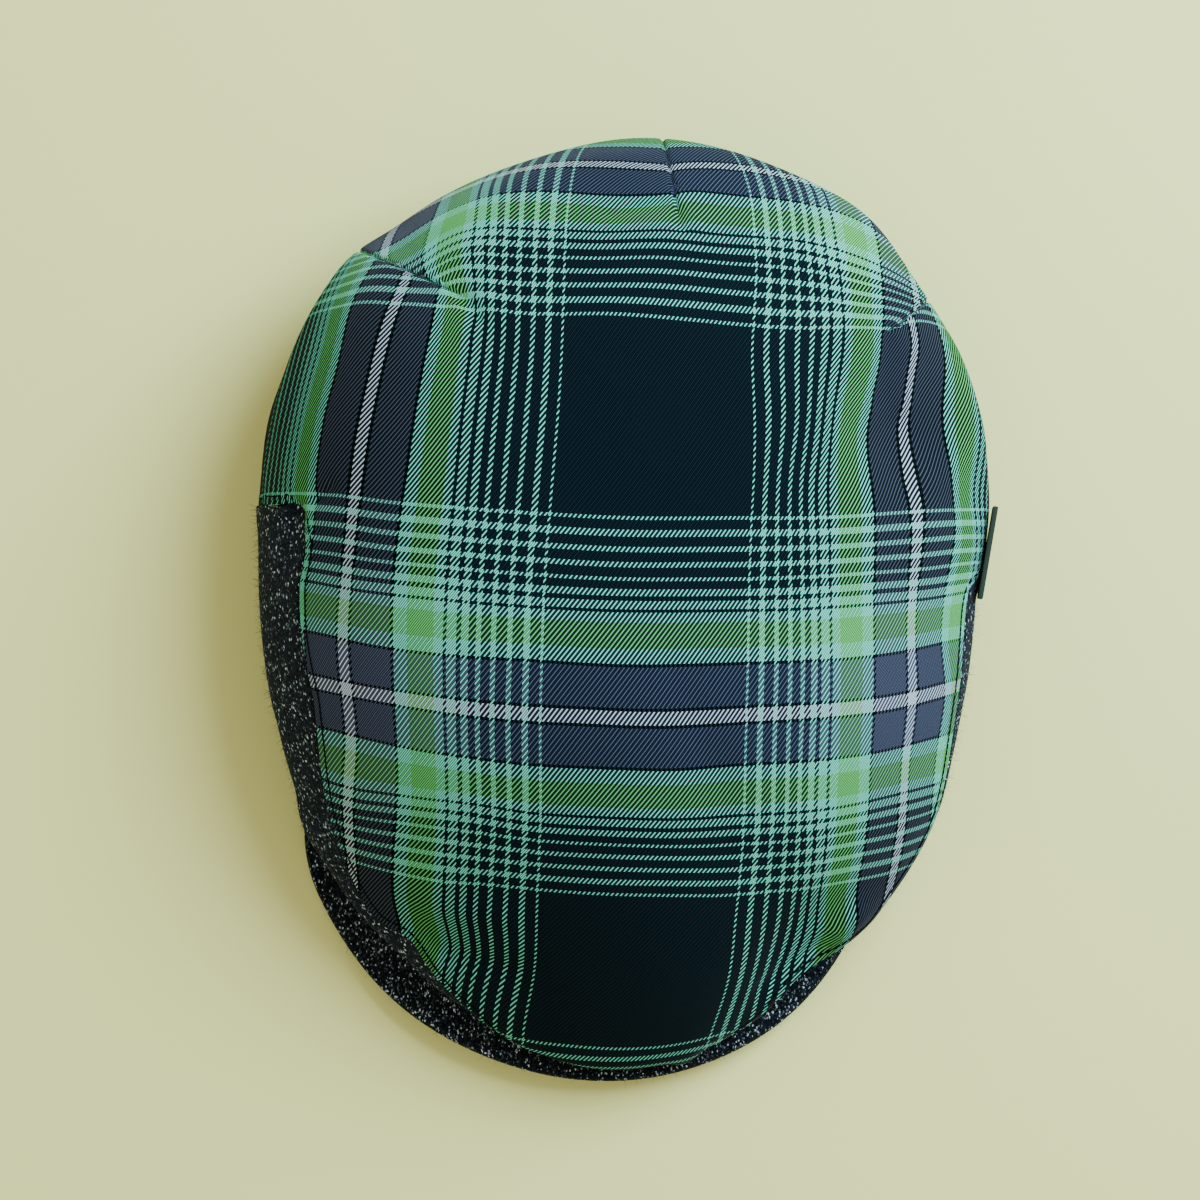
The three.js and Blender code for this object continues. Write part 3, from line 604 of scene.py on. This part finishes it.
def folded(shape, folds):
    """Moves the mesh out or in by each fold's amount along its line, or slides it. All are in mm."""
    shape.normal_update()
    for fold in folds:
        start, end = Vector(fold["from"]) / 1000, Vector(fold["to"]) / 1000
        way = end - start
        reach = fold["half_width"] / 1000
        for vert in shape.verts:
            along = min(max((vert.co - start).dot(way) / way.length_squared, 0), 1)
            away = (vert.co - start - way * along).length
            if away < FOLD_FADED * reach:
                move = Vector(fold["slide"]) if "slide" in fold else vert.normal * fold["out"]
                vert.co += move / 1000 * math.exp(-((away / reach) ** 2))


def dart_frame(dart):
    """The dart's tip in plan and the unit vectors along and across it."""
    along = (dart["end"] - dart["tip"]).xy.normalized()
    return dart["tip"].xy, along, Vector((-along.y, along.x))


shape = bmesh.new()
shape.from_mesh(crown.data)
for dart in cloth.darts:
    tip, along, across = dart_frame(dart)

    def beside(place, reach, tip=tip, along=along, across=across):
        """Whether a place is beside the dart, within reach of it."""
        arm = place.xy - tip
        return arm.dot(along) > -reach and abs(arm.dot(across)) < reach

    near = [face for face in shape.faces if beside(face.calc_center_median(), CUT_BESIDE)]
    edges = {edge for face in near for edge in face.edges}
    verts = {vert for face in near for vert in face.verts}
    bmesh.ops.bisect_plane(
        shape,
        geom=[*near, *edges, *verts],
        dist=1e-5,
        plane_co=(*tip, 0),
        plane_no=(*across, 0),
    )
    for _ in range(2):
        fine = {
            edge
            for face in shape.faces
            if beside(face.calc_center_median(), FINE_BESIDE)
            for edge in face.edges
            if edge.calc_length() > FINE_ENOUGH
        }
        bmesh.ops.subdivide_edges(shape, edges=list(fine), cuts=1, use_grid_fill=True)
for fold in CROWN_FOLDS:
    folded(shape, [{**fold, "from": dome.seen(*fold["from"]) * 1000, "to": dome.seen(*fold["to"]) * 1000}])
free_edge = FreeEdge(shape)
free_edge.draw(shape)
folded(shape, DRAWN)
shape.normal_update()
for dart in cloth.darts:
    tip, along, across = dart_frame(dart)
    for vert in shape.verts:
        arm = vert.co.xy - tip
        if abs(arm.dot(across)) < CUT_BESIDE:
            near = math.exp(-((arm.dot(across) / SEAM_GROOVE["half_width"]) ** 2))
            begun = (arm.dot(along) + SEAM_GROOVE["starts"]) / SEAM_GROOVE["fades_in"]
            vert.co -= vert.normal * SEAM_GROOVE["depth"] * near * min(max(begun, 0), 1)
bmesh.ops.recalc_face_normals(shape, faces=shape.faces)
shape.to_mesh(crown.data)

# The row of stitches is kept for later, just inside the crown's free edge at the sides and the front.
STITCH_INSIDE = 0.0025
STITCH_LOWEST = 0.009
edge_line = [
    edge
    for edge in shape.edges
    if edge.is_boundary and (edge.verts[0].co.z + edge.verts[1].co.z) / 2 > STITCH_LOWEST
]
stitch_row = []
for edge in edge_line:
    face = edge.link_faces[0]
    middle = (edge.verts[0].co + edge.verts[1].co) / 2
    run = (edge.verts[1].co - edge.verts[0].co).normalized()
    inwards = face.normal.cross(run)
    if inwards.dot(face.calc_center_median() - middle) < 0:
        inwards = -inwards
    stitch_row.append((middle + inwards * STITCH_INSIDE, face.normal.copy(), run))
shape.free()

WALL = {"thickness": CROWN_WALL, "offset": -1, "use_even_offset": True, "material_offset": 1}
ROUNDED = {"width": 0.0008, "segments": 3, "limit_method": "ANGLE", "angle_limit": math.radians(55)}
finished(crown, "SOLIDIFY", **WALL)
finished(crown, "BEVEL", **ROUNDED)
mark_cloth(crown.data)


class Wire:
    """One output in a material. Sums on it add Math nodes, and add() makes any other node."""

    def __init__(self, tree, out=None):
        self.tree = tree
        self.out = out

    def add(self, kind, settings=None, inputs=None, output=0):
        """A new node of that kind: its settings first, then its inputs, which are values or wires."""
        node = self.tree.nodes.new(kind)
        for name, value in (settings or {}).items():
            if name == "stops":
                self.set_stops(node.color_ramp, value)
            else:
                setattr(node, name, value)
        for name, value in (inputs or {}).items():
            if isinstance(value, Wire):
                self.tree.links.new(value.out, node.inputs[name])
            else:
                node.inputs[name].default_value = value
        return Wire(self.tree, node.outputs[output])

    @staticmethod
    def set_stops(ramp, stops):
        """Gives a ramp bands of colour, each from its stop on."""
        ramp.interpolation = "CONSTANT"
        for place, colour in stops:
            stop = ramp.elements.new(place) if place > 0 else ramp.elements[0]
            stop.color = colour
        ramp.elements.remove(ramp.elements[-1])

    def sum(self, operation, *values):
        return self.add("ShaderNodeMath", {"operation": operation}, dict(enumerate((self, *values))))

    def flipped(self, operation, value):
        return self.add("ShaderNodeMath", {"operation": operation}, {0: value, 1: self})

    def __add__(self, other):
        return self.sum("ADD", other)

    def __sub__(self, other):
        return self.sum("SUBTRACT", other)

    def __mul__(self, other):
        return self.sum("MULTIPLY", other)

    def __truediv__(self, other):
        return self.sum("DIVIDE", other)

    def __pow__(self, other):
        return self.sum("POWER", other)

    def __mod__(self, other):
        return self.sum("FLOORED_MODULO", other)

    def __lt__(self, other):
        return self.sum("LESS_THAN", other)

    def __abs__(self):
        return self.sum("ABSOLUTE")

    def __radd__(self, other):
        return self.flipped("ADD", other)

    def __rsub__(self, other):
        return self.flipped("SUBTRACT", other)

    def __rmul__(self, other):
        return self.flipped("MULTIPLY", other)

    def mixed(self, first, second):
        """A colour between first and second, by this wire."""
        return self.add("ShaderNodeMix", {"data_type": "RGBA"}, {0: self, 6: first, 7: second}, output=2)


def fabric(name, roughness, sheen=0.0, sheen_roughness=0.5, colour=None):
    """A new cloth material, its shader, and a wire to add nodes with."""
    material = bpy.data.materials.new(name)
    material.use_nodes = True
    shader = material.node_tree.nodes["Principled BSDF"]
    shader.inputs["Roughness"].default_value = roughness
    shader.inputs["Specular IOR Level"].default_value = 0.03
    shader.inputs["Sheen Weight"].default_value = sheen
    shader.inputs["Sheen Roughness"].default_value = sheen_roughness
    if colour:
        shader.inputs["Base Color"].default_value = colour
    return material, shader, Wire(material.node_tree)


def bumped(shader, wire, height, distance):
    """Feeds a height to the shader's normal."""
    bump = wire.add("ShaderNodeBump", {}, {"Height": height, "Distance": distance, "Strength": 1.0})
    wire.tree.links.new(bump.out, shader.inputs["Normal"])


def tartan_colour(place, direction):
    """The dye of the thread at a place across the cloth."""
    pitch = THREADS[direction]
    middle = ((place / pitch).sum("FLOOR") + 0.5) * pitch
    half = SETT_REPEAT / 2
    in_sett = abs((middle + half) % SETT_REPEAT - half)
    stops = [(at / half, DYES[direction][dye]) for at, dye in SETT]
    return place.add("ShaderNodeValToRGB", {"stops": stops}, {"Fac": in_sett / half})


# A two-by-two twill: the warp passes over two weft threads and under two, one thread further on in each
# row. Each rib of it is rounded: painted shade darkens its sides and a painted highlight lightens its
# middle, in its colour as well as in its bump.
TWILL = 4
# Power, light and dark shape the painted shade and highlight across each rib; height is its bump.
RIB = {"power": 1.3, "light": 1.1, "dark": 0.03, "height": 0.00012}

tartan, tartan_shader, wire = fabric("tartan_twill", 0.9, sheen=0.04, sheen_roughness=0.2)
where = wire.add("ShaderNodeAttribute", {"attribute_name": "cloth"}, output=1)
across_place = wire.add("ShaderNodeSeparateXYZ", {}, {0: where}, output=0)
along_place = wire.add("ShaderNodeSeparateXYZ", {}, {0: where}, output=1)
warp_dye = tartan_colour(across_place, "warp")
weft_dye = tartan_colour(along_place, "weft")
diagonal = (across_place / THREADS["warp"] - along_place / THREADS["weft"]) % TWILL
warp_on_top = diagonal < TWILL / 2
weave = warp_on_top.mixed(weft_dye, warp_dye)
relief = 1 - abs(diagonal % (TWILL / 2) - 1)
# Painted shade and highlight across each rib, which scale the dyes of the weave.
painted_rib_shade = relief ** RIB["power"] * RIB["light"] + RIB["dark"]
colour_with_painted_shade = wire.add("ShaderNodeVectorMath", {"operation": "SCALE"}, {0: weave, "Scale": painted_rib_shade})
tartan.node_tree.links.new(colour_with_painted_shade.out, tartan_shader.inputs["Base Color"])
bumped(tartan_shader, wire, relief, RIB["height"])

lining = fabric("black_lining", 0.6, sheen=0.05, colour=(0.006, 0.006, 0.007, 1))[0]
crown.data.materials.clear()
crown.data.materials.append(tartan)
crown.data.materials.append(lining)
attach(crown, "root")
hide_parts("crown")


# --- Topstitching ---------------------------------------------------------------------------------
# One row of black thread that holds the crown's turned edge down, from the step at the left round the
# front to the step at the right. Each stitch lies in the cloth.
STITCH = {"thread": 0.00030, "length": 0.0024}

stitch = bmesh.new()
bmesh.ops.create_uvsphere(stitch, u_segments=6, v_segments=5, radius=1.0)
bmesh.ops.scale(stitch, vec=(STITCH["thread"], STITCH["thread"], STITCH["length"] / 2), verts=stitch.verts)
stitch_mesh = meshed(stitch, "stitch")


def scattered(mesh, places, name):
    """One object made of a copy of the mesh at each place."""
    shape = bmesh.new()
    for place in places:
        one = mesh.copy()
        one.transform(place)
        shape.from_mesh(one)
        bpy.data.meshes.remove(one)
    return made(shape, name)


def standing(place, up, along):
    """A turn and a move that put a thing's Z along a way and its X as near to up as can be."""
    z = along.normalized()
    y = z.cross(up).normalized()
    return Matrix.Translation(place) @ Matrix((y.cross(z), y, z)).transposed().to_4x4()


black_thread = fabric("black_thread", 0.8, colour=(0.002, 0.003, 0.004, 1))[0]
stitches = scattered(stitch_mesh, [standing(*place) for place in stitch_row], "topstitching")
stitches.data.materials.append(black_thread)
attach(stitches, "root")


# --- Side panels ----------------------------------------------------------------------------------
# A panel of thick charcoal wool tweed at each side, under the crown's turned edge. Its face is hairy,
# with pale flecks in the yarn.
PANEL_WALL = 0.002
# The way each panel faces, the size that it was cut to in metres, and its soft dents and bulges in mm.
PANELS = {
    "left": {
        "faces": Vector((-1, 0, 0)),
        "flat": (0.19, 0.06),
        "area": 0.0075,
        "folds": [
            {"from": (-109, 24, 36), "to": (-108, 24, 14), "half_width": 7, "out": 0.4},
            {"from": (-100.5, -40, 27), "to": (-96.5, -55, 25), "half_width": 9, "out": -0.8},
            {"from": (-94, -66, 24), "to": (-92, -70, 22), "half_width": 6, "out": 1.2},
        ],
    },
    "right": {
        "faces": Vector((1, 0, 0)),
        "flat": (0.17, 0.045),
        "area": 0.0054,
        "folds": [{"from": (103.5, 12, 29), "to": (98.5, -50, 27), "half_width": 9, "out": 1.2}],
    },
}


def tweed_material(name, ground, fleck, rarity, turn, stretch):
    """Wool in a coarse weave: each stitch of yarn has its own lightness, with painted shade towards its edges
    where the bump sinks between stitches, and a few are pale flecks.
    """
    material, shader, wire = fabric(name, 0.95, sheen=0.04)
    place = wire.add("ShaderNodeTexCoord", output=3)
    mm = wire.add("ShaderNodeVectorMath", {"operation": "SCALE"}, {0: place, "Scale": 1000.0})
    wander = wire.add("ShaderNodeTexNoise", {}, {"Vector": mm, "Scale": 0.9, "Detail": 2.0}, output=1)
    moved = wire.add("ShaderNodeVectorMath", {"operation": "ADD"}, {0: mm, 1: wander})
    laid = wire.add("ShaderNodeMapping", {}, {"Vector": moved, "Rotation": turn, "Scale": stretch})
    cells = {"Vector": laid, "Scale": 1.0, "Randomness": 0.85}
    gap = wire.add("ShaderNodeTexVoronoi", {}, cells)
    cell = wire.add("ShaderNodeTexVoronoi", {}, cells, output=1)
    tone = wire.add("ShaderNodeSeparateColor", {}, {0: cell}, output=0)
    fibre = wire.add("ShaderNodeTexNoise", {}, {"Vector": mm, "Scale": 3.2, "Detail": 3.0, "Roughness": 0.75})
    pale = (tone**rarity) * (2.8 - gap * 3.4) * (fibre * 3 - 0.6)
    # Painted shade: the last factor darkens each stitch towards its edges, between the stitches.
    light = (tone * 1.3 + 0.2) * (fibre * 2.6 - 0.5) * (1.15 - gap * 1.3)
    colour_with_painted_shade = wire.add("ShaderNodeVectorMath", {"operation": "SCALE"}, {0: ground, "Scale": light})
    colour = pale.mixed(colour_with_painted_shade, fleck)
    material.node_tree.links.new(colour.out, shader.inputs["Base Color"])
    bumped(shader, wire, fibre * 0.8 - gap, 0.0004)
    return material


tweed = tweed_material(
    "charcoal_tweed",
    ground=(0.0085, 0.024, 0.056),
    fleck=(0.64, 0.82, 0.98, 1),
    rarity=24,
    turn=(math.radians(35), 0, 0),
    stretch=(1.6, 1.3, 2.2),
)
panel_skins = {}
for side, row in PANELS.items():
    node = f"side_panel_{side}"
    panel = made(outer_skin(node, row["faces"]), f"{side}_panel_cloth")
    finished(panel, "SUBSURF", **SMOOTHER)
    shape = bmesh.new()
    shape.from_mesh(panel.data)
    folded(shape, row["folds"])
    free_edge.draw(shape)
    folded(shape, DRAWN)
    shape.to_mesh(panel.data)
    panel_skins[side] = shape
    finished(panel, "SOLIDIFY", thickness=PANEL_WALL, offset=-1)
    panel.data.materials.append(tweed)
    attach(panel, "root")
    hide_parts(node)


# --- Peak -----------------------------------------------------------------------------------------
# A stiff shaped board covered with dark fleck tweed, drawn over its edge. It is sewn in under the
# front of the crown.
RIM = {"from": 0.090, "to": 0.120}  # how far out from INSIDE the board gives way to its bulging edge
# The bulges of the cover round its edge: toward and spread are in degrees, out is in mm.
PEAK_FLARE = [
    {"toward": -118, "spread": 15, "out": 2.8},
    {"toward": -65, "spread": 13, "out": 2.6},
    {"toward": -91, "spread": 13, "out": 1.0},
]

peak_cloth = tweed_material(
    "dark_fleck_tweed",
    ground=(0.0065, 0.017, 0.031),
    fleck=(0.60, 0.74, 0.82, 1),
    rarity=17,
    turn=(0, 0, math.radians(35)),
    stretch=(2.4, 1.5, 1.6),
)
shape = paired(merged("peak"))
for vert in shape.verts:
    arm = vert.co - INSIDE
    turn = math.degrees(math.atan2(arm.y, arm.x))
    flare = sum(row["out"] * math.exp(-(((turn - row["toward"]) / row["spread"]) ** 2)) for row in PEAK_FLARE)
    near_rim = min(max((arm.xy.length - RIM["from"]) / (RIM["to"] - RIM["from"]), 0), 1)
    vert.co.xy += arm.xy.normalized() * flare / 1000 * near_rim
peak = made(shape, "peak_cover")
finished(peak, "SUBSURF", **SMOOTHER)
peak.data.materials.append(peak_cloth)
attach(peak, "root")
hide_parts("peak")


# --- Wool hairs -----------------------------------------------------------------------------------
# Loose wool fibres that stand off the tweed of the panels and off the rim of the peak. Each is held by
# the yarn that it was spun into.
HAIR = {"width": 0.00007, "length": 0.0017, "bend": 0.35, "tip": 0.4, "shortest": 0.45, "longest": 1.5}
HAIR_LEAN = 0.75
HAIR_LOWEST = 0.003  # no hair is rooted nearer to the table than this
PER_CM2 = {"panel": 45, "peak": 30}
PEAK_RIM = {"out": 0.1, "down": -0.3}  # hairs stand this far out from INSIDE, but not on the underside

hair = bmesh.new()
bmesh.ops.create_grid(hair, x_segments=1, y_segments=4, size=0.5)
for vert in hair.verts:
    up = vert.co.y + 0.5
    width = HAIR["width"] * (1 - (1 - HAIR["tip"]) * up)
    vert.co = Vector((vert.co.x * width, HAIR["bend"] * HAIR["length"] * up * up, up * HAIR["length"]))
hair_mesh = meshed(hair, "hair")
rng = np.random.default_rng(7)


def hairs(faces, per_cm2):
    """Places for hairs over some faces, leaning every way."""
    found = []
    for face in faces:
        for _ in range(rng.poisson(face.calc_area() * 1e4 * per_cm2)):
            corners = [vert.co for vert in face.verts]
            share = rng.dirichlet(np.ones(len(corners)))
            place = sum((corner * float(part) for corner, part in zip(corners, share)), Vector())
            if place.z < HAIR_LOWEST:
                continue
            lean = Vector(rng.normal(size=3) * HAIR_LEAN)
            size = Matrix.Scale(float(rng.uniform(HAIR["shortest"], HAIR["longest"])), 4)
            turn = Matrix.Rotation(float(rng.uniform(0, math.tau)), 4, "Z")
            found.append(standing(place, Vector(rng.normal(size=3)), face.normal + lean) @ turn @ size)
    return found


wool = fabric("wool_hair", 0.9, colour=(0.030, 0.044, 0.050, 1))[0]
peak_shape = bmesh.new()
peak_shape.from_mesh(peak.data)
rim = [
    face
    for face in peak_shape.faces
    if face.normal.z > PEAK_RIM["down"]
    and (face.calc_center_median() - INSIDE).xy.length > PEAK_RIM["out"]
]
for name, slot, faces, per_cm2 in (
    ("left_panel_hairs", "side_tweed", panel_skins["left"].faces, PER_CM2["panel"]),
    ("right_panel_hairs", "side_tweed", panel_skins["right"].faces, PER_CM2["panel"]),
    ("peak_hairs", "peak_tweed", rim, PER_CM2["peak"]),
):
    fluff = scattered(hair_mesh, hairs(faces, per_cm2), name)
    fluff.data.materials.append(wool)
    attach(fluff, "root")


# --- Tab ------------------------------------------------------------------------------------------
# A short folded ribbon, sewn into the seam between the crown and the right panel and lying back
# against the crown. It is dark green, with no lettering.
TAB_LAID_IN = 0.0012  # how far its free end is turned in towards the crown
TAB_LEAN = 0.08  # how far its top leans in, for its height

ribbon = fabric("ribbon", 0.8, sheen=0.03, colour=(0.020, 0.034, 0.027, 1))[0]
shape = merged("side_tab")
sewn = min(vert.co.y for vert in shape.verts)
free = max(vert.co.y for vert in shape.verts)
low = min(vert.co.z for vert in shape.verts)
for vert in shape.verts:
    vert.co.x -= TAB_LAID_IN * (vert.co.y - sewn) / (free - sewn) + TAB_LEAN * (vert.co.z - low)
tab = made(shape, "woven_tab")
finished(tab, "BEVEL", **{**ROUNDED, "width": 0.0004})
tab.data.materials.append(ribbon)
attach(tab, "root")
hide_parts("side_tab")
